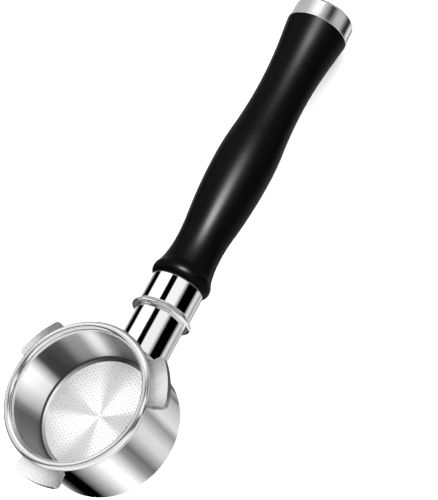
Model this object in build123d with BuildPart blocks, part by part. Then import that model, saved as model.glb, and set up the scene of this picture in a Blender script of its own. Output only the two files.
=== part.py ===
"""Bottomless portafilter of the 51 mm class: ring head, lift-out basket and bolted handle.

Frame: +Z is the ring's axis and points out of its mouth, and z = 0 passes through the
middle of the basket's rolled rim. The handle leaves along +X and droops below the horizontal.
All sizes are in millimetres.
"""
from build123d import *
from math import cos, radians, sin, sqrt
import os

# Basket
basket_radius = 26.5
sheet = 0.5
rim_round = 1.8
curl_end_angle = -125.0
straight_wall_bottom = -5.0
basket_foot_radius = 24.65
basket_foot = -19.85
foot_corner_round = 0.95
foot_outside_round = 1.8
floor_ring_radius = 23.7
screen_seat_radius = 22.95
cup_foot_radius = 23.45
screen_top = -20.8
screen_thickness = 0.4
screen_gap = 0.08
ledge_radius = 21.7
hole_radius = 0.2
hole_pitch = 1.6
hole_field_radius = 21.3

# Ring head
body_top_radius = 29.3
body_top_round = 0.4
body_bottom_radius = 28.6
body_bottom = -31.9
body_edge_round = 0.5
bore_radius = 27.2
bore_chamfer = 0.2

# Bayonet lugs: angle of the middle and width, in degrees
lugs = ((57.0, 32.9), (173.5, 35.3), (297.8, 34.8))
lug_radius = 35.6
lug_root_radius = 28.2
lug_top = -2.6
lug_outer_height = 3.4
lug_root_height = 4.8
lug_corner_round = 2.2
lug_edge_round = 0.45
lug_clear_radius = 31.5

# Basket spring, an open ring of round wire
spring_z = -4.6
spring_wire_radius = 0.5
spring_ring_radius = 27.6
spring_groove_radius = 0.62
spring_gap_angle = 34.0

# Handle line
handle_droop = 6.8
handle_cross_z = -25.0

# Stations along the handle, measured from the ring's axis
neck_root = 26.0
neck_round_start = 33.5
neck_end = 47.3
collar_end = 50.3
ferrule_end = 62.1
grip_front = 62.5
grip_tail = 188.9
cap_end = 198.0
washer_seat = 161.0
insert_seat = 177.5

# Neck and polished handle pieces
neck_radius = 10.45
neck_root_depth = 1.0
neck_steps = 3
collar_bead_radius = 12.65
collar_bead_round = 1.0
collar_cove_angle = 28.0
ferrule_radius = 10.98
ferrule_bore = 9.2
edge_break = 0.2

# Threaded rod, bush, washers and nut (M8)
rod_radius = 4.0
rod_clearance = 0.1
rod_start = 32.0
rod_end = 173.5
rod_chamfer = 0.7
bush_radius = 6.0
bush_length = 14.0
washer_radius = 8.0
washer_thickness = 1.6
lock_washer_radius = 7.4
lock_washer_thickness = 2.2
lock_washer_slit = 1.6
lock_washer_slit_turn = 12.0
nut_across_flats = 13.0
nut_height = 6.5

# Grip; its outline's points are (station, radius)
grip_spigot_radius = 9.05
grip_shoulder_radius = 10.85
bead_peak = Vector(65.5, 12.38)
bead_heel = Vector(68.4, 11.35)
heel_round = 2.0
waist = Vector(80.5, 9.86)
cove_share = 0.27
belly = Vector(120.0, 12.38)
belly_share = 0.39
tail_waist = Vector(155.0, 10.46)
flare_start = Vector(178.8, 11.96)
grip_tail_radius = 13.24
nut_pocket_radius = 8.2
insert_radius = 9.0
insert_bore = 6.6
insert_length = 10.5
fit_gap = 0.05

# End cap
cap_radius = 13.2
cap_tail_radius = 12.8
cap_lip_width = 0.9
cap_lip_step = 0.25
cap_corner_round = 1.7
cap_spigot_radius = 6.5
cap_spigot_length = 9.5
cap_hollow_radius = 4.5

# Handle line as a direction, an axis and a plane that holds its half-sections
handle_dir = Vector(cos(radians(handle_droop)), 0, -sin(radians(handle_droop)))
handle_cross = Vector(0, 0, handle_cross_z)
handle_axis = Axis(handle_cross, handle_dir)
handle_section = Plane(origin=handle_cross, x_dir=handle_dir, z_dir=(0, -1, 0))


def handle_plane(station):
    """Plane square to the handle at a station, its normal towards the free end."""
    return Plane(origin=handle_cross + handle_dir * station, x_dir=(0, 1, 0), z_dir=handle_dir)


def round_edges(piece, radius, tolerance=0.01):
    """The circular edges of a piece that have the given radius."""
    circles = piece.edges().filter_by(GeomType.CIRCLE)
    return circles.filter_by(lambda edge: abs(edge.radius - radius) < tolerance)


def hole_field(pitch, field_radius):
    """Centres of a staggered field of holes inside a circle."""
    row_step = pitch * sqrt(3) / 2
    rows = int(field_radius / row_step)
    columns = int(field_radius / pitch) + 1
    centres = []
    for row in range(-rows, rows + 1):
        shift = pitch / 2 if row % 2 else 0.0
        for column in range(-columns, columns + 1):
            centre = Vector(column * pitch + shift, row * row_step)
            if centre.length <= field_radius:
                centres.append(centre)
    return centres


# Head casting: ring wall, three lugs and the neck; the basket's rim rests on the wall's top
body_top = -rim_round

with BuildPart() as head_casting:
    with BuildSketch(Plane.XZ):
        Polygon(
            (bore_radius, body_top),
            (body_top_radius, body_top),
            (body_bottom_radius, body_bottom),
            (bore_radius + bore_chamfer, body_bottom),
            (bore_radius, body_bottom + bore_chamfer),
            align=None,
        )
    revolve(axis=Axis.Z)
    fillet(round_edges(head_casting, body_top_radius), body_top_round)
    fillet(round_edges(head_casting, body_bottom_radius), body_edge_round)

    # Neck: round, with an underside that draws up to the ring's foot
    for step in range(neck_steps + 1):
        share = step / neck_steps
        station = neck_root + (neck_round_start - neck_root) * share
        depth = neck_root_depth + (neck_radius - neck_root_depth) * share**2 * (3 - 2 * share)
        with BuildSketch(handle_plane(station)):
            with BuildLine():
                CenterArc((0, 0), neck_radius, 0, 180)
                EllipticalCenterArc((0, 0), neck_radius, depth, 180, arc_size=180)
            make_face()
    loft()
    with BuildSketch(handle_plane(neck_round_start)):
        Circle(neck_radius)
    extrude(amount=neck_end - neck_round_start)
    chamfer(round_edges(head_casting, neck_radius).sort_by(Axis.X)[-1], edge_break)

    # Lugs: flat on top, tapered underneath, with rounded outer corners
    for lug_angle, lug_span in lugs:
        lug_start = Plane.XZ.rotated((0, 0, lug_angle - lug_span / 2))
        with BuildSketch(lug_start):
            Polygon(
                (lug_root_radius, lug_top),
                (lug_radius, lug_top),
                (lug_radius, lug_top - lug_outer_height),
                (lug_root_radius, lug_top - lug_root_height),
                align=None,
            )
        revolve(axis=Axis.Z, revolution_arc=lug_span)
    lug_corners = head_casting.edges().filter_by(Axis.Z).filter_by(
        lambda edge: abs(edge.length - lug_outer_height) < 0.01
    )
    fillet(lug_corners, lug_corner_round)
    lug_faces = head_casting.faces().filter_by(
        lambda face: Vector(face.center().X, face.center().Y).length > lug_clear_radius
    )
    lug_rims = lug_faces.filter_by(GeomType.CYLINDER).edges().filter_by(GeomType.CIRCLE)
    fillet(lug_rims, lug_edge_round)

    # Bore, spring groove and tapped hole in the neck
    with BuildSketch(Plane.XY):
        Circle(bore_radius)
    extrude(amount=body_bottom + bore_chamfer, mode=Mode.SUBTRACT)
    with BuildSketch(Plane.XZ):
        with Locations((spring_ring_radius, spring_z)):
            Circle(spring_groove_radius)
    revolve(axis=Axis.Z, mode=Mode.SUBTRACT)
    with BuildSketch(handle_plane(rod_start - 1)):
        Circle(rod_radius + rod_clearance)
    extrude(amount=neck_end - rod_start + 1, mode=Mode.SUBTRACT)


# Basket spring: round wire bent to an open ring, held in the bore's groove
with BuildPart() as basket_spring:
    with BuildSketch(Plane.XZ.rotated((0, 0, spring_gap_angle / 2))):
        with Locations((spring_ring_radius, spring_z)):
            Circle(spring_wire_radius)
    revolve(axis=Axis.Z, revolution_arc=360 - spring_gap_angle)


# Basket cup: pressed sheet with a rolled rim, a tapered wall and a ledge for the screen
rim_ring_radius = basket_radius + rim_round
screen_bottom = screen_top - screen_thickness
cup_bottom = screen_bottom - sheet

with BuildPart() as basket_cup:
    with BuildSketch(Plane.XZ):
        with BuildLine():
            curl_outside = CenterArc(
                (rim_ring_radius, 0), rim_round, curl_end_angle, 180 - curl_end_angle
            )
            curl_inside = CenterArc(
                (rim_ring_radius, 0), rim_round - sheet, curl_end_angle, 180 - curl_end_angle
            )
            Line(curl_outside @ 0, curl_inside @ 0)
            Polyline(
                curl_inside @ 1,
                (basket_radius + sheet, straight_wall_bottom),
                (basket_foot_radius + sheet, basket_foot),
            )
            RadiusArc(
                (basket_foot_radius + sheet, basket_foot),
                (cup_foot_radius, cup_bottom),
                foot_outside_round,
            )
            Polyline(
                (cup_foot_radius, cup_bottom),
                (ledge_radius, cup_bottom),
                (ledge_radius, screen_bottom),
                (screen_seat_radius, screen_bottom),
                (screen_seat_radius, screen_top),
                (floor_ring_radius, screen_top),
            )
            RadiusArc(
                (floor_ring_radius, screen_top),
                (basket_foot_radius, basket_foot),
                -foot_corner_round,
            )
            Polyline(
                (basket_foot_radius, basket_foot),
                (basket_radius, straight_wall_bottom),
                curl_outside @ 1,
            )
        make_face()
    revolve(axis=Axis.Z)


# Basket screen: thin disc with a staggered field of fine holes
with BuildPart() as basket_screen:
    with BuildSketch(Plane.XY.offset(screen_bottom)):
        Circle(screen_seat_radius - screen_gap)
        with Locations(*hole_field(hole_pitch, hole_field_radius)):
            Circle(hole_radius, mode=Mode.SUBTRACT)
    extrude(amount=screen_thickness)


# Collar ring: full round bead at the neck with a small cove up to the ferrule
bead_station = neck_end + collar_bead_round
bead_height = collar_bead_radius - collar_bead_round

with BuildPart() as collar_ring:
    with BuildSketch(handle_section):
        with BuildLine():
            bead = CenterArc(
                (bead_station, bead_height),
                collar_bead_round,
                collar_cove_angle,
                180 - collar_cove_angle,
            )
            TangentArc((collar_end, ferrule_radius - edge_break), bead @ 0, tangent=(-1, 0))
            Polyline(
                (collar_end, ferrule_radius - edge_break),
                (collar_end, rod_radius + rod_clearance),
                (neck_end, rod_radius + rod_clearance),
                bead @ 1,
            )
        make_face()
    revolve(axis=handle_axis)


# Ferrule: plain sleeve over the grip's spigot
with BuildPart() as ferrule:
    with BuildSketch(handle_plane(collar_end)):
        Circle(ferrule_radius)
        Circle(ferrule_bore, mode=Mode.SUBTRACT)
    extrude(amount=ferrule_end - collar_end)
    chamfer(round_edges(ferrule, ferrule_radius), edge_break)


# Grip seal: flat ring between the ferrule and the grip's shoulder
with BuildPart() as grip_seal:
    with BuildSketch(handle_plane(ferrule_end)):
        Circle(ferrule_radius - edge_break)
        Circle(ferrule_bore, mode=Mode.SUBTRACT)
    extrude(amount=grip_front - ferrule_end)


# Handle grip: base bead, waist, belly, second waist and flare, turned about the handle
def cove_and_bead(start, end, share):
    """Two arcs between stations; both leave along the handle and meet part of the way."""
    joint = start + (end - start) * share
    TangentArc(start, joint, tangent=(1, 0))
    TangentArc(end, joint, tangent=(-1, 0))


with BuildPart() as handle_grip:
    with BuildSketch(handle_section):
        with BuildLine():
            Polyline(
                (grip_tail, grip_tail_radius),
                (grip_tail, insert_radius + fit_gap),
                (insert_seat, insert_radius + fit_gap),
                (insert_seat, nut_pocket_radius),
                (washer_seat, nut_pocket_radius),
                (washer_seat, rod_radius + rod_clearance),
                (collar_end + bush_length, rod_radius + rod_clearance),
                (collar_end + bush_length, bush_radius + fit_gap),
                (collar_end + edge_break, bush_radius + fit_gap),
                (collar_end + edge_break, grip_spigot_radius),
                (grip_front, grip_spigot_radius),
                (grip_front, grip_shoulder_radius),
            )
            ThreePointArc((grip_front, grip_shoulder_radius), bead_peak, bead_heel)
            TangentArc(waist, bead_heel, tangent=(-1, 0))
            cove_and_bead(waist, belly, cove_share)
            cove_and_bead(belly, tail_waist, belly_share)
            TangentArc(tail_waist, flare_start, tangent=(1, 0))
            Line(flare_start, (grip_tail, grip_tail_radius))
        make_face()
    revolve(axis=handle_axis)
    fillet(round_edges(handle_grip, bead_heel.Y), heel_round)


# Front bush: brass sleeve moulded into the grip, centres it on the rod
with BuildPart() as front_bush:
    with BuildSketch(handle_plane(collar_end + edge_break)):
        Circle(bush_radius)
        Circle(rod_radius + rod_clearance, mode=Mode.SUBTRACT)
    extrude(amount=bush_length - edge_break)


# Tie rod: threaded rod from the neck's tapped hole to the nut
with BuildPart() as tie_rod:
    with BuildSketch(handle_plane(rod_start)):
        Circle(rod_radius)
    extrude(amount=rod_end - rod_start)
    chamfer(tie_rod.edges().filter_by(GeomType.CIRCLE), rod_chamfer)


# Flat washer, split lock washer and hexagon nut at the bottom of the grip's pocket
with BuildPart() as flat_washer:
    with BuildSketch(handle_plane(washer_seat)):
        Circle(washer_radius)
        Circle(rod_radius + 2 * rod_clearance, mode=Mode.SUBTRACT)
    extrude(amount=washer_thickness)

lock_washer_seat = washer_seat + washer_thickness

with BuildPart() as lock_washer:
    with BuildSketch(handle_plane(lock_washer_seat)):
        Circle(lock_washer_radius)
        Circle(rod_radius + 2 * rod_clearance, mode=Mode.SUBTRACT)
        with Locations((lock_washer_radius / 2, 0)):
            Rectangle(
                lock_washer_radius + 1,
                lock_washer_slit,
                rotation=lock_washer_slit_turn,
                mode=Mode.SUBTRACT,
            )
    extrude(amount=lock_washer_thickness)

nut_seat = lock_washer_seat + lock_washer_thickness

with BuildPart() as rod_nut:
    with BuildSketch(handle_plane(nut_seat)):
        RegularPolygon(nut_across_flats / 2, 6, major_radius=False)
        Circle(rod_radius + rod_clearance, mode=Mode.SUBTRACT)
    extrude(amount=nut_height)


# Cap insert: threaded brass sleeve in the grip's tail
insert_front = grip_tail - fit_gap - insert_length

with BuildPart() as cap_insert:
    with BuildSketch(handle_plane(insert_front)):
        Circle(insert_radius)
        Circle(insert_bore, mode=Mode.SUBTRACT)
    extrude(amount=insert_length)


# End cap: turned cap with a thin lip beside the grip and a hollow threaded spigot
with BuildPart() as end_cap:
    with BuildSketch(handle_section):
        with BuildLine():
            Polyline(
                (grip_tail, cap_spigot_radius),
                (grip_tail, cap_radius),
                (grip_tail + cap_lip_width, cap_radius),
                (grip_tail + cap_lip_width + cap_lip_step, cap_radius - cap_lip_step),
                (cap_end - cap_corner_round, cap_tail_radius),
            )
            RadiusArc(
                (cap_end - cap_corner_round, cap_tail_radius),
                (cap_end, cap_tail_radius - cap_corner_round),
                cap_corner_round,
            )
            Polyline(
                (cap_end, cap_tail_radius - cap_corner_round),
                (cap_end, 0),
                (grip_tail + 2, 0),
                (grip_tail + 2, cap_hollow_radius),
                (grip_tail - cap_spigot_length, cap_hollow_radius),
                (grip_tail - cap_spigot_length, cap_spigot_radius),
                (grip_tail, cap_spigot_radius),
            )
        make_face()
    revolve(axis=handle_axis)


pieces = {
    "head_casting": head_casting,
    "basket_spring": basket_spring,
    "basket_cup": basket_cup,
    "basket_screen": basket_screen,
    "collar_ring": collar_ring,
    "ferrule": ferrule,
    "grip_seal": grip_seal,
    "handle_grip": handle_grip,
    "front_bush": front_bush,
    "tie_rod": tie_rod,
    "flat_washer": flat_washer,
    "lock_washer": lock_washer,
    "rod_nut": rod_nut,
    "cap_insert": cap_insert,
    "end_cap": end_cap,
}

os.makedirs("parts", exist_ok=True)
for label, piece in pieces.items():
    piece.part.label = label
    export_step(piece.part, f"parts/{label}.step")
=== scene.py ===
"""Portafilter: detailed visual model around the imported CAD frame.

Lengths are millimetres in the CAD frame until MM turns them into metres: +Z is the ring's
axis and the handle leaves along +X. Stations run along the handle from the ring's axis.
"""
from math import atan2, cos, degrees, hypot, pi, radians, sin, sqrt

import bpy
import numpy as np
from mathutils import Matrix, Vector


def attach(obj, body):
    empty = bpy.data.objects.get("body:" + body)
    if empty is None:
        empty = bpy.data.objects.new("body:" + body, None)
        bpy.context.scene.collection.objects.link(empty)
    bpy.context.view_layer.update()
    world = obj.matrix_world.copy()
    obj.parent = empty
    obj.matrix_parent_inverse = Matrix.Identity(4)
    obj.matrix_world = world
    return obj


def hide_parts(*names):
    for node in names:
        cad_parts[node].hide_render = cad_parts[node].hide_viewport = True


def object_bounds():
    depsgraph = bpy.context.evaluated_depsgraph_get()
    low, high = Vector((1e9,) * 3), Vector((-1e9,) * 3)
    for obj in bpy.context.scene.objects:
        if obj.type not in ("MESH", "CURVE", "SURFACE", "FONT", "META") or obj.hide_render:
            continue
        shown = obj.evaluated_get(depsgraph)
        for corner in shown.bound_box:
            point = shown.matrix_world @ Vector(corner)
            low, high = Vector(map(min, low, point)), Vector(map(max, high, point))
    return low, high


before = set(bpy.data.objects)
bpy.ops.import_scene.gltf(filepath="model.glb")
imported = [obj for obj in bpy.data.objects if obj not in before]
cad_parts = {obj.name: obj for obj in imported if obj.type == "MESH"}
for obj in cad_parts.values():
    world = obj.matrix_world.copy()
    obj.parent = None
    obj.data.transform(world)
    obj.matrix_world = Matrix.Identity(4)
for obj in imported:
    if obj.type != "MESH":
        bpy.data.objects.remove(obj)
cad_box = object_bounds()

MM = 0.001
TINY = 1e-6
AROUND = 288  # columns of a surface of revolution
SAMPLED_FACES = 997  # faces that tell which way a shell faces
HEAD, BASKET = "head_and_handle", "basket"

# Handle line: its droop, where it crosses the ring's axis, and its three directions
DROOP = radians(6.8)
CROSS = Vector((0.0, 0.0, -25.0))
ALONG = Vector((cos(DROOP), 0.0, -sin(DROOP)))
SIDE = Vector((0.0, 1.0, 0.0))
OVER = Vector((sin(DROOP), 0.0, cos(DROOP)))

# Camera, fitted to the photograph by a scratch script: place in millimetres, directions, lens and
# sensor, and clip distances in metres
CAMERA_AT = Vector((-193.423, -495.866, 767.082))
CAMERA_FORWARD = Vector((0.281346, 0.498211, -0.820141))
CAMERA_UP = Vector((0.872139, 0.223744, 0.435101))
LENS, SENSOR, CLIP = 180.0, 36.0, (0.02, 20.0)


# ---------------------------------------------------------------- outlines

def rounded(points, closed=False, step=9.0):
    """Outline through (x, r, round) points: rows of x, r and the outward normal."""
    corners = [np.array(p[:2], float) for p in points]
    rows, count = [], len(points)
    for i, (_, _, radius) in enumerate(points):
        here = corners[i]
        first, last = not closed and i == 0, not closed and i == count - 1
        into = None if first else unit(here - corners[i - 1])
        out = None if last else unit(corners[(i + 1) % count] - here)
        if first or last:
            rows.append((*here, *left_of(out if first else into)))
            continue
        turn = atan2(into[0] * out[1] - into[1] * out[0], into @ out)
        reach = radius * abs(np.tan(turn / 2))
        start, side = here - into * reach, np.sign(turn)
        centre = start - side * radius * left_of(into)
        steps = max(2, int(abs(degrees(turn)) / step) + 1)
        for k in range(steps + 1):
            normal = turned(left_of(into), turn * k / steps)
            rows.append((*(centre + side * radius * normal), *normal))
    return rows


def unit(v):
    """The same direction with a length of 1."""
    return v / np.linalg.norm(v)


def left_of(direction):
    """Normal on the outer side of an outline drawn clockwise in (x, r)."""
    return np.array((direction[1], -direction[0]))


def turned(v, angle):
    """The vector turned in its plane."""
    c, s = cos(angle), sin(angle)
    return np.array((c * v[0] - s * v[1], s * v[0] + c * v[1]))


def arc(start, direction, end, steps=24):
    """Rows along the arc that leaves start in a direction and passes through end."""
    start, end = np.array(start, float), np.array(end, float)
    along = unit(np.array(direction, float))
    chord = end - start
    bend = 2 * atan2(along[0] * chord[1] - along[1] * chord[0], along @ chord)
    if abs(bend) < TINY:
        return [(*start, *left_of(along)), (*end, *left_of(along))]
    radius = np.linalg.norm(chord) / (2 * sin(abs(bend) / 2))
    side = np.sign(bend)
    centre = start - side * radius * left_of(along)
    rows = []
    for k in range(steps + 1):
        normal = turned(left_of(along), bend * k / steps)
        rows.append((*(centre + side * radius * normal), *normal))
    return rows


def facing_out(rows):
    """The same rows with their normals turned over."""
    return [(x, r, -nx, -nr) for x, r, nx, nr in rows]


def backwards(rows):
    """The same outline drawn the other way."""
    return facing_out(reversed(rows))


def apart(a, b):
    """Distance between two rows."""
    return hypot(b[0] - a[0], b[1] - a[1])


def between(a, b, share):
    """Point part of the way from one point to another."""
    return tuple(p + (q - p) * share for p, q in zip(a, b))


# ---------------------------------------------------------------- shells

def upright(x, r, angle):
    """Point of a body turned about the ring's axis."""
    return (r * cos(angle), r * sin(angle), x)


def on_handle(x, r, angle):
    """Point of a body turned about the handle."""
    p = CROSS + ALONG * x + (SIDE * cos(angle) + OVER * sin(angle)) * r
    return tuple(p)


def turned_shell(rows, place, closed=False, material=0, around=AROUND):
    """Surface of revolution as vertices, faces, normals and UVs."""
    rows = [row for i, row in enumerate(rows) if i == 0 or apart(rows[i - 1], row) > TINY]
    if closed and apart(rows[-1], rows[0]) < TINY:
        rows = rows[:-1]
    origin = np.array(place(0.0, 0.0, 0.0))
    vertices, normals, index = [], [], []
    for x, r, nx, nr in rows:
        columns = 1 if r < TINY else around
        index.append([len(vertices) + (j if columns > 1 else 0) for j in range(around)])
        for j in range(columns):
            angle = 2 * pi * j / around
            vertices.append(place(x, r, angle))
            normals.append(np.array(place(nx, nr, angle)) - origin)
    travel = np.concatenate([[0], np.cumsum([apart(a, b) for a, b in zip(rows, rows[1:])])])
    faces, uvs = [], []
    pairs = list(zip(range(len(rows) - 1), range(1, len(rows))))
    if closed:
        pairs.append((len(rows) - 1, 0))
        travel = np.append(travel, travel[-1] + apart(rows[-1], rows[0]))
    for a, b in pairs:
        va, vb = travel[a] * MM, travel[a + 1] * MM
        for j in range(around):
            k = (j + 1) % around
            ua, ub = j / around, (j + 1) / around
            quad = [
                (index[a][j], ua, va), (index[b][j], ua, vb), (index[b][k], ub, vb), (index[a][k], ub, va),
            ]
            kept = [q for n, q in enumerate(quad) if q[0] != quad[n - 1][0]]
            faces.append([q[0] for q in kept])
            uvs.extend((q[1], q[2]) for q in kept)
    return facing(dict(v=vertices, f=faces, n=normals, uv=uvs, m=material))


def facing(shell):
    """Turns the faces over when they disagree with the normals."""
    v, n = np.array(shell["v"]), np.array(shell["n"])
    votes = 0.0
    for face in shell["f"][:: max(1, len(shell["f"]) // SAMPLED_FACES)]:
        p = v[face[:3]]
        votes += np.cross(p[1] - p[0], p[2] - p[0]) @ n[face].mean(axis=0)
    if votes < 0:
        uvs, at = [], 0
        for face in shell["f"]:
            uvs.extend(reversed(shell["uv"][at : at + len(face)]))
            at += len(face)
        shell["f"], shell["uv"] = [f[::-1] for f in shell["f"]], uvs
    return shell


def skin_shell(rows, start, end, material=0):
    """Tube through closed rows of points, with an end point or a ruled cap at each end."""
    columns = len(rows[0])
    vertices = [tuple(p) for row in rows for p in row]
    faces = []
    for i in range(len(rows) - 1):
        for j in range(columns):
            k = (j + 1) % columns
            a, b = i * columns, (i + 1) * columns
            faces.append([a + j, b + j, b + k, a + k])
    for cap, first in ((start, 0), (end, (len(rows) - 1) * columns)):
        if cap is None:
            for j in range(columns // 2 - 1):
                quad = [first + j, first + j + 1, first + columns - 2 - j, first + columns - 1 - j]
                faces.append(quad if first == 0 else quad[::-1])
        else:
            vertices.append(tuple(cap))
            for j in range(columns):
                tri = [first + j, first + (j + 1) % columns, len(vertices) - 1]
                faces.append(tri if first == 0 else tri[::-1])
    v = np.array(vertices)
    normals = np.zeros_like(v)
    for face in faces:
        p = v[face]
        size = sum(np.cross(p[i] - p[0], p[i + 1] - p[0]) for i in range(1, len(face) - 1))
        normals[face] += size
    centre = v.mean(axis=0)
    if np.einsum("ij,ij->", v - centre, normals) < 0:
        faces, normals = [f[::-1] for f in faces], -normals
    normals /= np.linalg.norm(normals, axis=1)[:, None]
    uvs = [(v[i][0] * MM, v[i][1] * MM) for face in faces for i in face]
    return dict(v=vertices, f=faces, n=normals.tolist(), uv=uvs, m=material)


def piece(name, shells, body, nodes, materials):
    """One visible piece from its shells, riding on a body and standing for CAD nodes."""
    vertices, faces, normals, uvs, which = [], [], [], [], []
    for shell in shells:
        base = len(vertices)
        vertices += [tuple(c * MM for c in p) for p in shell["v"]]
        faces += [[i + base for i in face] for face in shell["f"]]
        normals += [tuple(n) for n in shell["n"]]
        uvs += shell["uv"]
        which += [shell["m"]] * len(shell["f"])
    mesh = bpy.data.meshes.new(name)
    mesh.from_pydata(vertices, [], faces)
    layer = mesh.uv_layers.new(name="surface")
    layer.data.foreach_set("uv", np.array(uvs, dtype=np.float32).ravel())
    mesh.polygons.foreach_set("material_index", which)
    mesh.polygons.foreach_set("use_smooth", [True] * len(faces))
    mesh.normals_split_custom_set_from_vertices(normals)
    mesh.validate()
    for material in materials:
        mesh.materials.append(material)
    obj = bpy.data.objects.new(name, mesh)
    bpy.context.scene.collection.objects.link(obj)
    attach(obj, body)
    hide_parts(*nodes)
    return obj


# ---------------------------------------------------------------- shader nodes

TOP_LEVEL = 2.0  # above every level of a ring, because a colour ramp holds 0 to 1


class Nodes:
    """Short way to add and join shader nodes in one tree."""

    def __init__(self, tree):
        self.tree = tree
        tree.nodes.clear()

    def add(self, kind, out=0, inputs=None, **settings):
        """Adds a node, joins or sets its inputs, and gives back one of its outputs."""
        node = self.tree.nodes.new(kind)
        for key, value in settings.items():
            setattr(node, key, value)
        for key, value in (inputs or {}).items():
            if isinstance(value, bpy.types.NodeSocket):
                self.tree.links.new(value, node.inputs[key])
            else:
                node.inputs[key].default_value = value
        return node.outputs[out]

    def end(self, kind, shader):
        """Joins a shader to the tree's output node."""
        self.tree.links.new(shader, self.tree.nodes.new(kind).inputs["Surface"])

    def math(self, operation, a, b=0.0, c=0.0):
        return self.add("ShaderNodeMath", inputs={0: a, 1: b, 2: c}, operation=operation)

    def span(self, value, low, high, to_low=0.0, to_high=1.0, smooth=False):
        """Maps low to high onto to_low to to_high, and holds the ends."""
        kind = "SMOOTHSTEP" if smooth else "LINEAR"
        sockets = {"Value": value, "From Min": low, "From Max": high, "To Min": to_low, "To Max": to_high}
        return self.add("ShaderNodeMapRange", inputs=sockets, interpolation_type=kind)

    def reach(self, length, limits, smooth=False):
        """0 at the first of two lengths in millimetres, 1 at the second."""
        return self.span(length, limits[0] * MM, limits[1] * MM, smooth=smooth)

    def noise(self, vector, scale, detail=3.0, roughness=0.5):
        sockets = {"Vector": vector, "Scale": scale, "Detail": detail, "Roughness": roughness}
        return self.add("ShaderNodeTexNoise", inputs=sockets)

    def stretched(self, vector, scale):
        return self.add("ShaderNodeMapping", inputs={"Vector": vector, "Scale": scale})

    def object_space(self):
        return self.add("ShaderNodeTexCoord", out="Object")

    def uv(self):
        return self.add("ShaderNodeUVMap", uv_map="surface")

    def mix(self, factor, a, b, blend_type="MIX"):
        """Colour mix; 6, 7 and output 2 are the node's colour sockets."""
        sockets = {0: factor, 6: a, 7: b}
        return self.add("ShaderNodeMix", out=2, inputs=sockets, data_type="RGBA", blend_type=blend_type)

    def times(self, a, b):
        """Product of two colours."""
        return self.mix(1.0, a, b, "MULTIPLY")

    def blend(self, factor, a, b):
        """Mix of two levels; 2 and 3 are the node's level sockets."""
        return self.add("ShaderNodeMix", inputs={0: factor, 2: a, 3: b}, data_type="FLOAT")

    def dot(self, direction, vector):
        sockets = {0: direction, 1: tuple(vector)}
        return self.add("ShaderNodeVectorMath", out="Value", inputs=sockets, operation="DOT_PRODUCT")

    def bump(self, height, strength, distance, below=None):
        """Normal that follows a height; distance is in metres."""
        sockets = {"Height": height, "Strength": strength, "Distance": distance}
        if below is not None:
            sockets["Normal"] = below
        return self.add("ShaderNodeBump", inputs=sockets)

    def split(self, space):
        return tuple(self.add("ShaderNodeSeparateXYZ", inputs={0: space}).node.outputs)

    def length(self, x, y):
        squares = self.math("MULTIPLY", x, x), self.math("MULTIPLY", y, y)
        return self.math("SQRT", self.math("ADD", *squares))

    def polar(self, space):
        """Radius, azimuth and height about the ring's axis from object-space coordinates."""
        x, y, z = self.split(space)
        return self.length(x, y), self.math("ARCTAN2", y, x), z

    def from_hole(self, space, pitch):
        """Distance from the nearest hole of a staggered field centred on the ring's axis."""
        x, y, _ = self.split(space)
        half, row = pitch / 2, pitch * sqrt(3) / 2
        x, y = self.math("PINGPONG", x, half), self.math("PINGPONG", y, row)
        shifted = self.length(self.math("SUBTRACT", half, x), self.math("SUBTRACT", row, y))
        return self.math("MINIMUM", self.length(x, y), shifted)

    def level_ring(self, angle, stops):
        """Level around a circle from (degrees, level) stops; angle is in radians."""
        turn = self.math("FRACT", self.math("DIVIDE", angle, 2 * pi))
        level = self.add("ShaderNodeValToRGB", inputs={0: turn})
        ramp = level.node.color_ramp
        stops = ring_stops(stops)
        while len(ramp.elements) < len(stops):
            ramp.elements.new(0.5)
        for element, (position, height) in zip(ramp.elements, stops):
            element.position = position
            element.color = grey(height / TOP_LEVEL)
        return self.math("MULTIPLY", level, TOP_LEVEL)

    def surface(self, sockets):
        """Principled shader with the given sockets, joined to the material's output."""
        self.end("ShaderNodeOutputMaterial", self.add("ShaderNodeBsdfPrincipled", inputs=sockets))


def ring_stops(stops):
    """Stops in parts of a turn, with the same level where the circle closes."""
    stops = sorted((degree / 360.0, level) for degree, level in stops)
    first, last = stops[0], stops[-1]
    if first[0] > TINY:
        seam = last[1] + (first[1] - last[1]) * (1 - last[0]) / (1 - last[0] + first[0])
        return [(0.0, seam), *stops, (1.0, seam)]
    return [*stops, (1.0, first[1])]


def grey(level):
    return (level, level, level, 1.0)


def new_material(name, colour):
    """Empty node material, with its colour for the plain views."""
    material = bpy.data.materials.new(name)
    material.use_nodes = True
    material.diffuse_color = colour
    return material, Nodes(material.node_tree)


# ---------------------------------------------------------------- materials

def polished_steel():
    """Mirror-polished casting with a faint waviness and hairline polishing marks."""
    material, n = new_material("polished_steel", (0.78, 0.78, 0.79, 1))
    space = n.object_space()
    soft = n.noise(space, 90.0, 2.0)
    hair = n.noise(n.stretched(space, (300.0, 300.0, 2600.0)), 1.0, 4.0, 0.65)
    wave = n.bump(soft, 0.10, 0.0006)
    marks = n.bump(hair, 0.05, 0.00002, wave)
    rough = n.span(n.noise(space, 260.0, 4.0), 0.35, 0.7, 0.045, 0.085)
    tone = n.mix(n.noise(space, 60.0, 3.0), (0.80, 0.80, 0.81, 1), (0.86, 0.86, 0.865, 1))
    n.surface({"Base Color": tone, "Metallic": 1.0, "Roughness": rough, "Normal": marks})
    return material


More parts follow.
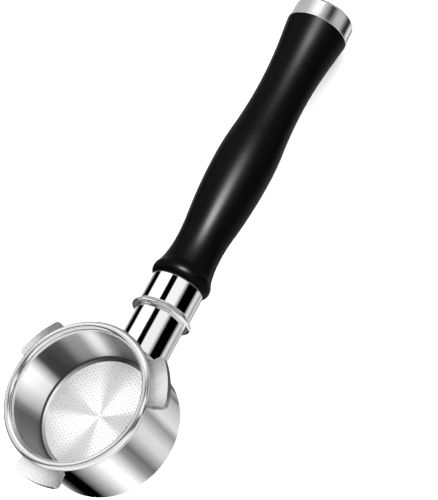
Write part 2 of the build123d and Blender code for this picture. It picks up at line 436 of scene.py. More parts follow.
# Painted light and shade around the ring's axis, as (azimuth, level), typed from readings of the
# photograph's brightness and then changed: first the lugs' satin tops (painted sheen) and cast sides
# (painted light and shade)
LUG_PAINTED_SHEEN = (
    (0, 0.4), (40, 0.13), (48, 0.14), (54, 0.22), (62, 0.40), (75, 0.46), (150, 0.58), (170, 0.56),
    (178, 0.50), (186, 0.34), (192, 0.20), (279, 0.24), (288, 0.47), (300, 0.45), (306, 0.32), (313, 0.22),
)
LUG_SIDES_PAINTED_LIGHT = (
    (0, 0.3), (40, 0.3), (75, 0.5), (155, 0.62), (178, 0.62), (186, 0.5), (200, 0.5), (278, 0.42),
    (284, 0.34), (289, 0.09), (302, 0.04), (308, 0.12), (316, 0.3),
)


def cast_steel():
    """Lugs: machined satin tops with painted sheen over cast sides painted darker, with a fine grain and
    small pits.
    """
    material, n = new_material("cast_steel", (0.62, 0.62, 0.62, 1))
    space = n.object_space()
    _, azimuth, height = n.polar(space)
    top = n.reach(height, LUG_SATIN_Z)
    grain = n.noise(space, 1400.0, 5.0, 0.6)
    pits = n.noise(space, 420.0, 3.0, 0.5)
    bumped = n.bump(grain, 0.12, 0.00003, n.bump(pits, 0.10, 0.00008))
    rough = n.span(grain, 0.3, 0.7, 0.24, 0.34)
    # Painted sheen on the satin tops and painted light and shade on the cast sides, both by azimuth
    satin_painted_sheen = n.times(n.level_ring(azimuth, LUG_PAINTED_SHEEN), n.mix(pits, grey(0.97), grey(1.03)))
    cast = n.times(n.level_ring(azimuth, LUG_SIDES_PAINTED_LIGHT), n.mix(pits, grey(0.85), grey(1.15)))
    n.surface({
        "Base Color": n.mix(top, cast, satin_painted_sheen), "Metallic": n.span(top, 0.0, 1.0, 1.0, 0.4),
        "Roughness": rough, "Normal": bumped,
    })
    return material


# The same painted light and shade for the basket's wall, its floor ring, the rim's outer flank and the
# screen
WALL_PAINTED_SHEEN = (
    (0, 0.12), (8, 0.30), (17, 0.84), (22, 0.75), (30, 0.28), (40, 0.23), (48, 0.045), (60, 0.015),
    (67, 0.03), (74, 0.68), (78, 1.0), (88, 0.95), (96, 0.70), (102, 0.50), (108, 0.18), (114, 0.075),
    (126, 0.085), (180, 0.11), (190, 0.40), (205, 0.45), (230, 0.1), (262, 0.07), (280, 0.5), (292, 0.52),
    (308, 0.12),
)
LEDGE_PAINTED_SHEEN = (
    (0, 0.02), (20, 0.05), (40, 0.20), (60, 0.48), (78, 0.92), (102, 0.92), (120, 0.5), (140, 0.32),
    (160, 0.33), (200, 0.6), (270, 0.6), (330, 0.2),
)
RIM_FLANK_PAINTED_LIGHT = (
    (0, 0.4), (35, 0.25), (130, 0.16), (165, 0.25), (185, 0.7), (205, 1.0), (265, 1.0), (278, 0.6),
    (318, 0.6),
)
SCREEN_PAINTED_SHEEN = (
    (0, 0.61), (10, 0.64), (26, 0.97), (60, 0.97), (75, 0.66), (92, 0.62), (104, 0.9), (116, 0.98),
    (146, 0.92), (163, 0.62), (180, 0.62), (194, 0.92), (212, 0.98), (240, 0.92), (255, 0.62),
    (270, 0.58), (286, 0.60), (298, 0.90), (318, 0.98), (338, 0.92), (350, 0.68),
)
# Tone of the painted shade in the basket's foot corner
CORNER_SHADE_TONE = 0.035


def pressed_steel():
    """Bright pressed sheet: mirror rim, and a wall with spun lines and long streaks of painted sheen."""
    material, n = new_material("pressed_steel", (0.74, 0.74, 0.75, 1))
    space, uv = n.object_space(), n.uv()
    radius, azimuth, height = n.polar(space)
    lines = n.noise(n.stretched(uv, (3.0, 9000.0, 1.0)), 1.0, 5.0, 0.7)
    drift = n.noise(space, 70.0, 2.0)
    bumped = n.bump(lines, 0.10, 0.00003, n.bump(drift, 0.08, 0.0006))
    inner = n.math("MULTIPLY", n.reach(radius, INSIDE_R), n.reach(height, INSIDE_Z, smooth=True))
    # Painted shade in the foot corner between the wall and the floor
    corner = n.math("MULTIPLY", n.reach(height, CORNER_Z), n.reach(radius, CORNER_R))
    polish = n.mix(drift, (0.82, 0.82, 0.825, 1), (0.88, 0.88, 0.885, 1))
    # Painted light and shade on the rim's outer flank, by azimuth
    flank_painted_light = n.times(polish, n.level_ring(azimuth, RIM_FLANK_PAINTED_LIGHT))
    outer = n.mix(n.reach(radius, FLANK_R), polish, flank_painted_light)
    streak = n.mix(n.span(lines, 0.3, 0.7), grey(0.94), grey(1.0))
    # Painted streaks of sheen on the wall and painted sheen on the floor ring, by azimuth
    wall = n.times(n.level_ring(azimuth, WALL_PAINTED_SHEEN), streak)
    cup = n.mix(n.reach(height, LEDGE_Z), wall, n.level_ring(azimuth, LEDGE_PAINTED_SHEEN))
    rough = n.math("ADD", n.span(lines, 0.3, 0.7, 0.10, 0.16), n.math("MULTIPLY", inner, 0.17))
    tangent = n.add("ShaderNodeTangent", direction_type="UV_MAP", uv_map="surface")
    n.surface({
        "Base Color": n.mix(corner, n.mix(inner, outer, cup), grey(CORNER_SHADE_TONE)),
        "Metallic": n.span(inner, 0.0, 1.0, 0.97, 0.35),
        "Roughness": rough, "Normal": bumped,
        "Anisotropic": 0.6, "Anisotropic Rotation": 0.25, "Tangent": tangent,
    })
    return material


def screen_steel():
    """Etched sheet with a turned sheen, painted fans of sheen from its centre and painted shade around
    each hole.
    """
    material, n = new_material("screen_steel", (0.80, 0.80, 0.80, 1))
    space = n.object_space()
    radius, azimuth, _ = n.polar(space)
    turning = {"W": n.math("MULTIPLY", radius, 7000.0), "Scale": 1.0, "Detail": 4.0}
    rings = n.add("ShaderNodeTexNoise", inputs=turning, noise_dimensions="1D")
    grain = n.noise(space, 900.0, 4.0, 0.6)
    bumped = n.bump(rings, 0.12, 0.00002, n.bump(grain, 0.08, 0.00003))
    rough = n.span(grain, 0.3, 0.7, 0.26, 0.38)
    # Painted sheen in fans around the centre, by azimuth
    painted_sheen_fans = n.times(n.level_ring(azimuth, SCREEN_PAINTED_SHEEN), n.mix(rings, grey(0.95), grey(1.0)))
    # Painted shade in a ring around each hole
    near_hole = n.reach(n.from_hole(space, HOLE_PITCH * MM), HOLE_SHADE_REACH)
    in_field = n.math("LESS_THAN", radius, HOLE_FIELD_R * MM)
    hole_shade = n.mix(n.math("MULTIPLY", near_hole, in_field), grey(1.0), grey(HOLE_SHADE_TONE))
    tangent = n.add("ShaderNodeTangent", direction_type="RADIAL", axis="Z")
    n.surface({
        "Base Color": n.times(painted_sheen_fans, hole_shade), "Metallic": 0.4, "Roughness": rough, "Normal": bumped,
        "Anisotropic": 0.8, "Anisotropic Rotation": 0.25, "Tangent": tangent,
    })
    return material


def handle_chrome():
    """Bright mirror chrome with the slightest polishing waviness."""
    material, n = new_material("handle_chrome", (0.84, 0.84, 0.85, 1))
    space = n.object_space()
    wave = n.bump(n.noise(space, 120.0, 2.0), 0.05, 0.0004)
    smudge = n.noise(space, 180.0, 4.0, 0.6)
    rough = n.span(smudge, 0.4, 0.75, 0.02, 0.045)
    tone = n.mix(smudge, (0.84, 0.84, 0.85, 1), (0.89, 0.89, 0.895, 1))
    n.surface({"Base Color": tone, "Metallic": 1.0, "Roughness": rough, "Normal": wave})
    return material


def turned_chrome():
    """Chrome of the end cap with the faint rings that turning leaves."""
    material, n = new_material("turned_chrome", (0.84, 0.84, 0.85, 1))
    space, uv = n.object_space(), n.uv()
    rings = n.noise(n.stretched(uv, (2.0, 5200.0, 1.0)), 1.0, 5.0, 0.6)
    bumped = n.bump(rings, 0.08, 0.00002)
    rough = n.span(rings, 0.3, 0.7, 0.09, 0.16)
    tone = n.mix(n.noise(space, 240.0, 3.0), (0.82, 0.82, 0.83, 1), (0.88, 0.88, 0.885, 1))
    tangent = n.add("ShaderNodeTangent", direction_type="UV_MAP", uv_map="surface")
    n.surface({
        "Base Color": tone, "Metallic": 1.0, "Roughness": rough, "Normal": bumped,
        "Anisotropic": 0.5, "Anisotropic Rotation": 0.25, "Tangent": tangent,
    })
    return material


def black_grip():
    """Satin black moulding with a fine grain, handled a little smoother on its belly."""
    material, n = new_material("black_grip", (0.012, 0.012, 0.013, 1))
    space = n.object_space()
    grain = n.noise(space, 2400.0, 3.0, 0.55)
    pores = n.noise(space, 700.0, 3.0, 0.5)
    handled = n.noise(space, 35.0, 3.0, 0.5)
    bumped = n.bump(grain, 0.22, 0.00005, n.bump(pores, 0.08, 0.00008))
    rough = n.math("ADD", n.span(handled, 0.35, 0.65, 0.34, 0.30), n.span(grain, 0.3, 0.7, -0.02, 0.02))
    tone = n.mix(handled, (0.00008, 0.00008, 0.0001, 1), (0.0002, 0.0002, 0.00022, 1))
    n.surface({
        "Base Color": tone, "Roughness": rough, "Normal": bumped,
        "IOR": 1.45, "Specular IOR Level": 0.05,
    })
    return material


def wire_steel():
    """Drawn spring wire with lengthwise drawing marks."""
    material, n = new_material("wire_steel", (0.55, 0.55, 0.56, 1))
    space = n.object_space()
    marks = n.noise(n.stretched(space, (200.0, 200.0, 6000.0)), 1.0, 4.0, 0.6)
    rough = n.span(marks, 0.3, 0.7, 0.18, 0.32)
    tone = n.mix(marks, (0.50, 0.50, 0.51, 1), (0.62, 0.62, 0.63, 1))
    drawn = n.bump(marks, 0.2, 0.00003)
    n.surface({"Base Color": tone, "Metallic": 1.0, "Roughness": rough, "Normal": drawn})
    return material


def seal_rubber():
    """Matt black nitrile with a moulded bloom."""
    material, n = new_material("seal_rubber", (0.03, 0.03, 0.03, 1))
    space = n.object_space()
    bloom = n.noise(space, 800.0, 4.0, 0.6)
    rough = n.span(bloom, 0.3, 0.7, 0.6, 0.8)
    tone = n.mix(bloom, (0.015, 0.015, 0.015, 1), (0.035, 0.035, 0.036, 1))
    n.surface({"Base Color": tone, "Roughness": rough, "Normal": n.bump(bloom, 0.3, 0.00005)})
    return material


def plated_steel():
    """Zinc plating of the rod, washers and nut: cloudy, with a rolled thread's fine rings."""
    material, n = new_material("plated_steel", (0.50, 0.50, 0.51, 1))
    space = n.object_space()
    cloud = n.noise(space, 300.0, 4.0, 0.6)
    pitch = {"Vector": space, "Scale": 250.0, "Distortion": 0.2}
    bands = dict(wave_type="BANDS", bands_direction="X", wave_profile="TRI")
    thread = n.add("ShaderNodeTexWave", inputs=pitch, **bands)
    rough = n.span(cloud, 0.3, 0.7, 0.28, 0.45)
    tone = n.mix(cloud, (0.45, 0.46, 0.47, 1), (0.60, 0.60, 0.60, 1))
    bumped = n.bump(thread, 0.3, 0.0002)
    n.surface({"Base Color": tone, "Metallic": 1.0, "Roughness": rough, "Normal": bumped})
    return material


def turned_brass():
    """Brass of the bush and the cap's insert with turning marks."""
    material, n = new_material("turned_brass", (0.70, 0.52, 0.25, 1))
    space = n.object_space()
    rings = n.noise(n.stretched(space, (4000.0, 100.0, 100.0)), 1.0, 4.0, 0.6)
    rough = n.span(rings, 0.3, 0.7, 0.2, 0.34)
    tone = n.mix(rings, (0.66, 0.47, 0.21, 1), (0.76, 0.58, 0.30, 1))
    bumped = n.bump(rings, 0.15, 0.00003)
    n.surface({"Base Color": tone, "Metallic": 1.0, "Roughness": rough, "Normal": bumped})
    return material


def floor_paint():
    """Pale matt studio floor."""
    material, n = new_material("floor_paint", (0.92, 0.92, 0.92, 1))
    cloud = n.noise(n.object_space(), 6.0, 3.0)
    tone = n.mix(cloud, grey(0.915), grey(0.93))
    rough = n.span(cloud, 0.3, 0.7, 0.85, 0.95)
    n.surface({"Base Color": tone, "Roughness": rough, "Specular IOR Level": 0.1})
    return material


# ---------------------------------------------------------------- head

BODY_TOP, BODY_FOOT, BODY_TOP_R, BODY_FOOT_R, BORE_R = -1.8, -31.9, 29.3, 28.6, 27.2
GROOVE_Z, GROOVE_RING_R, GROOVE_R = -4.6, 27.6, 0.62
LUGS, LUG_R = ((57.0, 32.9), (173.5, 35.3), (297.8, 34.8)), 35.6
LUG_TOP, LUG_OUTER_HEIGHT, LUG_ROOT_HEIGHT, LUG_ROOT_R = -2.6, 3.4, 4.8, 28.2
LUG_CORNER, LUG_EDGE, LUG_FILLET, LUG_START_R = 2.2, 0.45, 0.3, 28.5
LUG_SATIN_Z = (LUG_TOP - 0.5, LUG_TOP - 0.2)  # where cast sides turn into the satin top
NECK_R, NECK_START, NECK_ROUND, NECK_END = 10.45, 26.0, 33.5, 47.3
NECK_ROOT_DEPTH, NECK_FILLET, NECK_BURIED, NECK_CORE_R = 1.0, 1.2, 0.5, 28.0
FILLET_FADE_Z, FILLET_FADE = -30.9, 3.0  # the neck's fillet narrows towards the ring's foot
LUG_STEPS, ROUND_STEPS, FLAT_STEPS, NECK_COLUMNS, NECK_STEP = 8, 6, 24, 216, 0.004
EDGE_BREAK = 0.2


def wall_radius(z):
    """Outer radius of the ring's body at a height."""
    return BODY_TOP_R + (BODY_FOOT_R - BODY_TOP_R) * (BODY_TOP - z) / (BODY_TOP - BODY_FOOT)


def ring_outline():
    """Section of the ring: bore, spring groove, flat top and tapered wall."""
    half = sqrt(GROOVE_R**2 - (GROOVE_RING_R - BORE_R) ** 2)
    groove = [(GROOVE_Z - half, BORE_R, 0.05)]
    for angle in (-60.0, -30.0, 0.0, 30.0, 60.0):
        a = radians(angle)
        groove.append((GROOVE_Z + GROOVE_R * sin(a), GROOVE_RING_R + GROOVE_R * cos(a), 0.1))
    groove.append((GROOVE_Z + half, BORE_R, 0.05))
    return rounded([
        (BODY_FOOT, BORE_R, 0.2),
        *groove,
        (BODY_TOP, BORE_R, 0.15),
        (BODY_TOP, BODY_TOP_R, 0.4),
        (BODY_FOOT, BODY_FOOT_R, 0.5),
    ], closed=True)


def eased(distance, radius):
    """How far a rounded edge of this radius draws in, a distance inside its end."""
    return radius - sqrt(max(0.0, radius**2 - max(0.0, radius - distance) ** 2))


def lug_shell(middle, span):
    """One bayonet lug: flat top, tapered underside, rounded corners and a filleted root."""
    foot = wall_radius(LUG_TOP - LUG_ROOT_HEIGHT)
    stations = {LUG_START_R, foot}
    for k in range(LUG_STEPS + 1):
        a = pi / 2 * k / LUG_STEPS
        stations |= {LUG_R - LUG_CORNER * (1 - sin(a)), LUG_R - LUG_EDGE * (1 - sin(a))}
        stations.add(foot + LUG_FILLET * (1 - cos(a)))
    stations |= {foot + 1.0 + 0.6 * k for k in range(7)}  # even steps between the roundings
    rows = []
    for r in sorted(stations):
        inside = LUG_R - r
        flare = eased(r - foot, LUG_FILLET) if r > foot else LUG_FILLET
        share = (r - LUG_ROOT_R) / (LUG_R - LUG_ROOT_R)
        height = LUG_ROOT_HEIGHT + (LUG_OUTER_HEIGHT - LUG_ROOT_HEIGHT) * share
        half_width = radians(span / 2) * r - eased(inside, LUG_CORNER) + flare
        top = LUG_TOP - eased(inside, LUG_EDGE) + flare
        bottom = LUG_TOP - height + eased(inside, LUG_EDGE) - flare
        rows.append(lug_section(r, radians(middle), half_width, top, bottom))
    return skin_shell(rows, None, None, material=1)


def lug_section(r, middle, half_width, top, bottom):
    """Rounded rectangle laid on a cylinder of radius r, mirrored about its mid-height."""
    centre, half_height = (top + bottom) / 2, (top - bottom) / 2
    corner = min(LUG_EDGE, 0.9 * half_height)
    upper = [(-half_width, half_height - corner - (half_height - corner) * k / 3) for k in (2.5, 1, 0)]
    for k in range(1, ROUND_STEPS):
        a = pi / 2 * k / ROUND_STEPS
        upper.append((-half_width + corner * (1 - cos(a)), half_height - corner * (1 - sin(a))))
    flat, edge = half_width - corner, list(upper)
    upper += [(-flat + 2 * flat * k / FLAT_STEPS, half_height) for k in range(FLAT_STEPS + 1)]
    upper += [(-s, z) for s, z in reversed(edge)]
    loop = upper + [(s, -z) for s, z in reversed(upper)]
    return [(r * cos(middle + s / r), r * sin(middle + s / r), centre + z) for s, z in loop]


def neck_point(angle, t):
    """Point of the neck from its root inside the wall, t = 0, to where it is round, t = 1."""
    ease = t * t * (3 - 2 * t)
    depth = NECK_ROOT_DEPTH + (NECK_R - NECK_ROOT_DEPTH) * ease if sin(angle) < 0 else NECK_R
    axis = CROSS + ALONG * (NECK_START + (NECK_ROUND - NECK_START) * t)
    return axis + SIDE * (NECK_R * cos(angle)) + OVER * (depth * sin(angle))


def neck_line(angle):
    """Points from inside the ring's wall, over the fillet and along the neck to its end."""
    low, high = 0.0, 0.9
    for _ in range(30):  # halves the stretch that holds the wall's face
        t = (low + high) / 2
        p = neck_point(angle, t)
        low, high = (t, high) if hypot(p.x, p.y) < wall_radius(p.z) else (low, t)
    meet = neck_point(angle, low)
    step = 1e-3
    away = (neck_point(angle, low + step) - meet).normalized()
    around = (neck_point(angle + step, low) - neck_point(angle - step, low)).normalized()
    normal = around.cross(away)
    out = SIDE * cos(angle) + OVER * sin(angle)
    normal = normal if normal.dot(out) > 0 else -normal
    wall = Vector((meet.x, meet.y, 0.0)).normalized()
    flat = (normal - wall * normal.dot(wall)).normalized()
    reach = NECK_FILLET * min(1.0, 0.1 + max(0.0, (meet.z - FILLET_FADE_Z) / FILLET_FADE))
    foot = meet + flat * reach
    foot_wall = Vector((foot.x, foot.y, 0.0)).normalized()
    foot = foot_wall * wall_radius(foot.z) + Vector((0.0, 0.0, foot.z))
    buried = foot_wall * (wall_radius(foot.z) - NECK_BURIED) + Vector((0.0, 0.0, foot.z))
    t = low
    while (neck_point(angle, t) - meet).length < reach:
        t += NECK_STEP
    lift = neck_point(angle, t)
    line = [buried]
    for k in range(9):
        s = k / 8
        line.append(foot * (1 - s) ** 2 + meet * 2 * s * (1 - s) + lift * s**2)
    line += [neck_point(angle, t + (1 - t) * k / 16) for k in range(1, 17)]
    ends = [(x, NECK_R) for x in (36.0, 39.0, 42.0, 45.0, NECK_END - EDGE_BREAK)]
    ends += [(NECK_END - 0.3 * EDGE_BREAK, NECK_R - 0.25 * EDGE_BREAK), (NECK_END, NECK_R - EDGE_BREAK)]
    return line + [Vector(on_handle(x, r, angle)) for x, r in ends]


def neck_shell():
    """Neck with its oval root, cast in one with the ring."""
    lines = [neck_line(2 * pi * j / NECK_COLUMNS) for j in range(NECK_COLUMNS)]
    rows = [[line[i] for line in lines] for i in range(len(lines[0]))]
    middle = sum((p.z for p in rows[0]), 0.0) / NECK_COLUMNS
    inner = []
    for p in rows[0]:
        y, z = p.y * 0.5, middle + (p.z - middle) * 0.5
        inner.append(Vector((sqrt(NECK_CORE_R**2 - y**2), y, z)))
    return skin_shell([inner, *rows], (NECK_CORE_R, 0.0, middle), on_handle(NECK_END, 0.0, 0.0))


def make_head(polished, cast):
    """Ring, neck and lugs, one casting with two finishes."""
    shells = [turned_shell(ring_outline(), upright, closed=True), neck_shell()]
    shells += [lug_shell(middle, span) for middle, span in LUGS]
    piece("head_skin", shells, HEAD, ["head_casting"], [polished, cast])


# ---------------------------------------------------------------- basket

RIM_RING_R, RIM_ROUND, SHEET = 28.3, 1.8, 0.5
CURL_END, CURL_STEPS = 215.0, 61  # the rim's curl, in degrees from its crown
CUP_STRAIGHT, CUP_FLOOR, CUP_SEAT, CUP_FOOT = -5.0, -20.8, -21.2, -21.7
CUP_MOUTH_R, CUP_FLOOR_R, CUP_FOOT_R, SEAT_R, LEDGE_R = 26.5, 24.53, 24.92, 22.95, 21.7

# Where the basket's finish changes, none to full: inside, foot corner of painted shade, floor ring, outer
# flank
INSIDE_R, INSIDE_Z = (26.9, 26.6), (-0.4, -1.6)
CORNER_R, CORNER_Z = (24.0, 24.2), (-19.6, -20.0)
LEDGE_Z, FLANK_R = (-20.2, -20.5), (29.9, 30.05)
# Field of holes in the screen, and the painted shade around each, none to full
HOLE_PITCH, HOLE_FIELD_R, HOLE_SHADE_REACH, HOLE_SHADE_TONE = 1.6, 21.4, (0.34, 0.24), 0.6


def make_basket(pressed):
    """Pressed cup: rolled rim, tapered wall, floor ring, seat and ledge."""
    mouth_r = RIM_RING_R - RIM_ROUND
    wall = rounded([
        (0.0, mouth_r + SHEET, 0.0),
        (CUP_STRAIGHT, CUP_MOUTH_R + SHEET, 3.0),
        (CUP_FOOT, CUP_FOOT_R, 1.7),
        (CUP_FOOT, LEDGE_R, 0.12),
        (CUP_SEAT, LEDGE_R, 0.06),
        (CUP_SEAT, SEAT_R, 0.03),
        (CUP_FLOOR, SEAT_R, 0.1),
        (CUP_FLOOR, CUP_FLOOR_R, 0.95),
        (CUP_STRAIGHT, CUP_MOUTH_R, 3.0),
        (0.0, mouth_r, 0.0),
    ])
    outside, inside = [], []
    for k in range(CURL_STEPS + 1):
        a = radians(-90 + (90 + CURL_END) * k / CURL_STEPS)
        c, d = cos(a), sin(a)
        outside.append((RIM_ROUND * c, RIM_RING_R + RIM_ROUND * d, c, d))
        inside.append(((RIM_ROUND - SHEET) * c, RIM_RING_R + (RIM_ROUND - SHEET) * d, -c, -d))
    shell = turned_shell(wall + outside[1:] + inside[:0:-1], upright, closed=True)
    piece("basket_skin", [shell], BASKET, ["basket_cup"], [pressed])


# ---------------------------------------------------------------- handle

COLLAR_START, COLLAR_END, COLLAR_R, COLLAR_ROUND, COLLAR_BORE = 47.3, 50.3, 12.65, 1.0, 4.1
COLLAR_ARC, COLLAR_STEPS = (-88.0, 62.0), 24  # ends of the bead's round, degrees from its crown
FERRULE_END, FERRULE_R, FERRULE_BORE = 62.1, 10.98, 9.2
GRIP_FRONT, GRIP_TAIL, GRIP_TAIL_R = 62.5, 188.9, 13.24
GRIP_BORE, BEAD_FRONT, BEAD_TOP, HEEL = 9.1, (62.75, 10.95), (65.5, 12.38), (68.4, 11.35)
WAIST, BELLY, TAIL_WAIST = (80.5, 9.86), (120.0, 12.38), (155.0, 10.46)
FLARE_START = (178.8, 11.96)
COVE_SHARE, BELLY_SHARE = 0.27, 0.39
CAP_END, CAP_R, CAP_TAIL_R, CAP_LIP, CAP_STEP, CAP_BORE = 198.0, 13.2, 12.8, 0.95, 0.25, 6.6


def make_collar(chrome):
    """Collar: a full round bead with a small cove up to the ferrule."""
    centre = (COLLAR_START + COLLAR_ROUND, COLLAR_R - COLLAR_ROUND)
    bead = []
    for k in range(COLLAR_STEPS + 1):
        a = radians(COLLAR_ARC[0] + (COLLAR_ARC[1] - COLLAR_ARC[0]) * k / COLLAR_STEPS)
        bead.append((centre[0] + COLLAR_ROUND * sin(a), centre[1] + COLLAR_ROUND * cos(a), sin(a), cos(a)))
    cove = arc((COLLAR_END - 0.1, FERRULE_R), (-1, 0), bead[-1][:2], 12)[::-1][1:]
    front = [(COLLAR_START, COLLAR_BORE, -1, 0), (COLLAR_START, centre[1] - 0.05, -1, 0)]
    back = [(COLLAR_END, FERRULE_R - 0.1, 1, 0), (COLLAR_END, COLLAR_BORE, 1, 0)]
    bore = [(COLLAR_END, COLLAR_BORE, 0, -1), (COLLAR_START, COLLAR_BORE, 0, -1)]
    shell = turned_shell(front + bead + cove + back + bore, on_handle)
    piece("collar_skin", [shell], HEAD, ["collar_ring"], [chrome])


def make_ferrule(chrome):
    """Ferrule: a plain sleeve with broken edges."""
    outline = rounded([
        (COLLAR_END, FERRULE_BORE, 0.05),
        (FERRULE_END, FERRULE_BORE, 0.05),
        (FERRULE_END, FERRULE_R, EDGE_BREAK),
        (COLLAR_END, FERRULE_R, EDGE_BREAK),
    ], closed=True)
    shell = turned_shell(outline, on_handle, closed=True)
    piece("ferrule_skin", [shell], HEAD, ["ferrule"], [chrome])


def make_grip(black):
    """Grip turned from a bead, a cove, a belly, a second cove and a flare."""
    cove, belly = between(WAIST, BELLY, COVE_SHARE), between(BELLY, TAIL_WAIST, BELLY_SHARE)
    outline = backwards(arc(BEAD_TOP, (-1, 0), BEAD_FRONT, 20))
    # Rows beside the crease between bead and cove are left out, which softens it
    outline += arc(BEAD_TOP, (1, 0), HEEL, 16)[:-3] + backwards(arc(WAIST, (-1, 0), HEEL, 20))[3:]
    outline += arc(WAIST, (1, 0), cove) + backwards(arc(BELLY, (-1, 0), cove))
    outline += arc(BELLY, (1, 0), belly) + backwards(arc(TAIL_WAIST, (-1, 0), belly))
    outline += arc(TAIL_WAIST, (1, 0), FLARE_START)
    outline = facing_out(outline)
    flare_normal = outline[-1][2:]
    start = [
        (GRIP_FRONT, GRIP_BORE, -1, 0),
        (GRIP_FRONT, BEAD_FRONT[1] - 0.25, -1, 0),
        (GRIP_FRONT + 0.1, BEAD_FRONT[1] - 0.09, -0.8, 0.6),
    ]
    end = [
        (GRIP_TAIL - 0.15, GRIP_TAIL_R - 0.02, *flare_normal),
        (GRIP_TAIL - 0.04, GRIP_TAIL_R - 0.06, 0.7, 0.7),
        (GRIP_TAIL, GRIP_TAIL_R - 0.18, 1, 0),
        (GRIP_TAIL, GRIP_BORE, 1, 0),
    ]
    shell = turned_shell(start + outline + end, on_handle)
    return piece("grip_skin", [shell], HEAD, ["handle_grip"], [black])


def make_cap(chrome):
    """End cap: thin lip beside the grip, tapered side and a rounded tail."""
    outline = rounded([
        (GRIP_TAIL, CAP_BORE, 0.05),
        (GRIP_TAIL, CAP_R, 0.2),
        (GRIP_TAIL + CAP_LIP, CAP_R, 0.12),
        (GRIP_TAIL + CAP_LIP + 0.2, CAP_R - CAP_STEP, 0.1),
        (CAP_END, CAP_TAIL_R, 1.7),
        (CAP_END, 0.0, 0.0),
    ])
    shell = turned_shell(facing_out(outline), on_handle)
    piece("cap_skin", [shell], HEAD, ["end_cap"], [chrome])


# ---------------------------------------------------------------- studio

SURROUND = 2.6  # level that everything but reflections sees

# The levels below were typed from readings of the photograph's brightness and then changed,
# but UNDER_LIGHT and TAIL_LIGHT stay close to the readings.
# Light around the handle line: (start, end, rise, fall, level), degrees from +Y over the top
WRAP_BOXES = (
    (28, 78, 8, 5, 1.5), (107, 144, 3, 17, 1.05), (220, 256, 16, 42, 0.85), (314, 323, 26, 34, 1.2),
)
# The same for the end cap, which leans towards other boxes: (angle, level)
TAIL_LIGHT = (
    (0, 0.53), (45, 0.53), (69, 0.96), (80, 1.3), (94, 1.3), (108, 0.6), (120, 0.33), (132, 0.03),
    (142, 0.01), (153, 0.28), (165, 0.57), (190, 0.57), (201, 0.29), (213, 0.02), (237, 0.01),
    (261, 0.23), (285, 0.67), (322, 0.65),
)
# Light around the ring's axis, as (azimuth, level): from above, beside, below the horizon, underneath
OVER_LIGHT = (
    (0, 0.25), (8, 0.1), (36, 0.1), (50, 0.55), (70, 0.7), (90, 0.85), (110, 0.8), (147, 0.85),
    (180, 0.7), (215, 0.8), (245, 0.95), (288, 1.1), (318, 0.9), (348, 0.7),
)
SIDE_LIGHT = (
    (0, 0.4), (15, 0.3), (40, 0.7), (80, 0.8), (100, 0.4), (120, 0.4), (140, 1.0), (200, 1.0), (260, 0.9),
    (300, 0.6), (340, 0.6),
)
LOW_LIGHT = ((0, 0.25), (30, 0.1), (128, 0.1), (150, 0.9), (200, 1.0), (255, 0.95), (300, 0.5))
UNDER_LIGHT = (
    (0, 0.45), (7, 0.18), (19, 0.46), (31, 0.07), (56, 0.76), (84, 0.6), (108, 0.09), (121, 0.0),
    (145, 0.0), (170, 0.53), (196, 1.25), (208, 1.25), (231, 0.36), (244, 0.18), (268, 0.81),
    (281, 0.85), (305, 0.35), (318, 0.88), (345, 0.66),
)
# Dark gap between the boxes, as two half planes through the zenith: (azimuth, level left in it)
GAPS, GAP_HALF, GAP_EDGE = ((130, 0.04), (272, 0.1)), 0.17, 0.06

# Where one light gives way to the next, by a direction's part along the handle or upwards
TAIL_LEAN, RING_LEANS = (0.40, 0.44), ((0.27, 0.22), (0.72, 0.80))
SIDE_UP, OVER_UP, UNDER_UP = (-0.06, 0.06), (0.25, 0.45), (-0.72, -0.79)
GAP_AHEAD, GAP_UP = (-0.12, 0.0), (-0.1, 0.1)

# Soft box over the grip: sides in metres, power, lean along the handle, angle about it, and the
# distance in metres from a station of the handle
GRIP_BOX_SIZE, GRIP_BOX_POWER = (0.24, 0.27), 48.0
GRIP_BOX_LEAN, GRIP_BOX_ANGLE, GRIP_BOX_AWAY, GRIP_BOX_STATION = 0.11, radians(110), 0.7, 100.0

# Floor, in metres: half its side, cells along a side, and its gap under the lowest point
FLOOR_HALF, FLOOR_CELLS, FLOOR_GAP = 3.0, 12, 0.0005


def box_stops(boxes):
    """Stops of soft boxes that rise from nothing, hold their level and fall again."""
    stops = []
    for start, end, rise, fall, level in boxes:
        stops += [(start - rise, 0.0), (start, level), (end, level), ((end + fall) % 360, 0.0)]
    return stops


def grip_light(grip):
    """Soft box over the handle that only the grip sees."""
    data = bpy.data.lights.new("grip_box", "AREA")
    data.shape = "RECTANGLE"
    data.size, data.size_y = GRIP_BOX_SIZE
    data.energy = GRIP_BOX_POWER
    box = bpy.data.objects.new("grip_box", data)
    bpy.context.scene.collection.objects.link(box)
    across = SIDE * cos(GRIP_BOX_ANGLE) + OVER * sin(GRIP_BOX_ANGLE)
    away = ALONG * GRIP_BOX_LEAN + across * sqrt(1 - GRIP_BOX_LEAN**2)
    centre = (CROSS + ALONG * GRIP_BOX_STATION) * MM + away * GRIP_BOX_AWAY
    z = away.normalized()
    x = (ALONG - z * ALONG.dot(z)).normalized()
    y = z.cross(x)
    box.matrix_world = Matrix((
        (x.x, y.x, z.x, centre.x), (x.y, y.y, z.y, centre.y), (x.z, y.z, z.z, centre.z), (0, 0, 0, 1),
    ))
    lit = bpy.data.collections.new("grip_box_lights")
    lit.objects.link(grip)
    box.light_linking.receiver_collection = lit


def in_gap(n, direction, up, azimuth):
    """1 inside one half of the dark gap, 0 away from it."""
    ahead = n.dot(direction, (cos(azimuth), sin(azimuth), 0.0))
    aside = n.math("ABSOLUTE", n.dot(direction, (-sin(azimuth), cos(azimuth), 0.0)))
    near = n.span(aside, GAP_HALF + GAP_EDGE, GAP_HALF - GAP_EDGE)
    inside = n.math("MULTIPLY", near, n.span(ahead, *GAP_AHEAD))
    return n.math("MULTIPLY", inside, n.span(up, *GAP_UP))


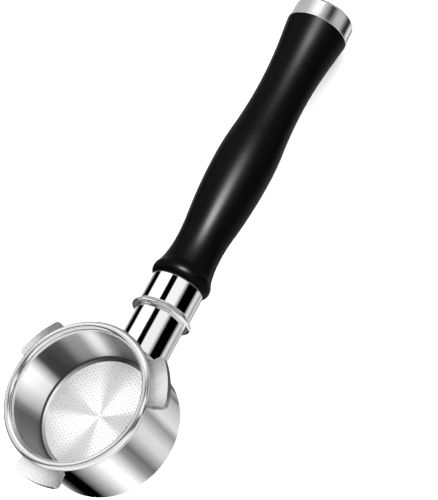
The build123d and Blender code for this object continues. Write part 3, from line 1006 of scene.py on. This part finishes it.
def studio_light():
    """White surround with soft boxes that only reflections see."""
    world = bpy.data.worlds.new("studio")
    bpy.context.scene.world = world
    world.use_nodes = True
    world.cycles.sampling_method = "NONE"
    n = Nodes(world.node_tree)
    direction = n.add("ShaderNodeTexCoord", out="Generated")
    across, over, up = n.dot(direction, SIDE), n.dot(direction, OVER), n.dot(direction, (0, 0, 1))
    around = n.math("ARCTAN2", over, across)
    azimuth = n.math("ARCTAN2", across, n.dot(direction, (1, 0, 0)))
    lean = n.dot(direction, ALONG)
    wrap = n.level_ring(around, box_stops(WRAP_BOXES))
    tail = n.level_ring(around, TAIL_LIGHT)
    above = n.level_ring(azimuth, OVER_LIGHT)
    under = n.level_ring(azimuth, UNDER_LIGHT)
    low, side = n.level_ring(azimuth, LOW_LIGHT), n.level_ring(azimuth, SIDE_LIGHT)
    beside = n.blend(n.span(up, *SIDE_UP), low, side)
    upper = n.blend(n.span(up, *OVER_UP), beside, above)
    for gap, left in GAPS:
        inside = in_gap(n, direction, up, radians(gap))
        upper = n.math("MULTIPLY", upper, n.span(inside, 0.0, 1.0, 1.0, left))
    studio = n.blend(n.span(lean, *TAIL_LEAN), wrap, tail)
    for limits in RING_LEANS:
        studio = n.blend(n.span(lean, *limits), studio, upper)
    studio = n.blend(n.span(up, *UNDER_UP), studio, under)
    glossy = n.add("ShaderNodeLightPath", out="Is Glossy Ray")
    level = n.blend(glossy, SURROUND, studio)
    n.end("ShaderNodeOutputWorld", n.add("ShaderNodeBackground", inputs={"Color": level}))


def studio_floor():
    """Large pale floor under the lowest point; reflections see the soft boxes past it."""
    low = cad_box[0][2] - FLOOR_GAP
    grid = [-FLOOR_HALF + 2 * FLOOR_HALF * i / FLOOR_CELLS for i in range(FLOOR_CELLS + 1)]
    vertices = [(x, y, low) for y in grid for x in grid]
    row = FLOOR_CELLS + 1
    corners = [j * row + i for j in range(FLOOR_CELLS) for i in range(FLOOR_CELLS)]
    faces = [(c, c + 1, c + row + 1, c + row) for c in corners]
    mesh = bpy.data.meshes.new("studio_floor")
    mesh.from_pydata(vertices, [], faces)
    mesh.materials.append(floor_paint())
    floor = bpy.data.objects.new("studio_floor", mesh)
    floor.visible_glossy = False
    bpy.context.scene.collection.objects.link(floor)


def photo_camera():
    """Camera at the photograph's angle."""
    data = bpy.data.cameras.new("photo_camera")
    data.lens, data.sensor_width = LENS, SENSOR
    data.clip_start, data.clip_end = CLIP
    camera = bpy.data.objects.new("photo_camera", data)
    bpy.context.scene.collection.objects.link(camera)
    forward = CAMERA_FORWARD.normalized()
    right = forward.cross(CAMERA_UP).normalized()
    up = right.cross(forward)
    at = CAMERA_AT * MM
    camera.matrix_world = Matrix((
        (right.x, up.x, -forward.x, at.x),
        (right.y, up.y, -forward.y, at.y),
        (right.z, up.z, -forward.z, at.z),
        (0, 0, 0, 1),
    ))
    bpy.context.scene.camera = camera


def finish_node(name, material):
    """Gives a carried-over CAD node its procedural material."""
    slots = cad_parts[name].data.materials
    if not slots:
        slots.append(material)
    for i in range(len(slots)):
        slots[i] = material


bpy.context.scene.view_settings.view_transform = "Standard"
photo_camera()
studio_light()
studio_floor()

chrome = handle_chrome()
make_head(polished_steel(), cast_steel())
make_basket(pressed_steel())
make_collar(chrome)
make_ferrule(chrome)
grip_light(make_grip(black_grip()))
make_cap(turned_chrome())

finish_node("basket_screen", screen_steel())
finish_node("basket_spring", wire_steel())
finish_node("grip_seal", seal_rubber())
plated, brass = plated_steel(), turned_brass()
for node in ("tie_rod", "flat_washer", "lock_washer", "rod_nut"):
    finish_node(node, plated)
for node in ("front_bush", "cap_insert"):
    finish_node(node, brass)
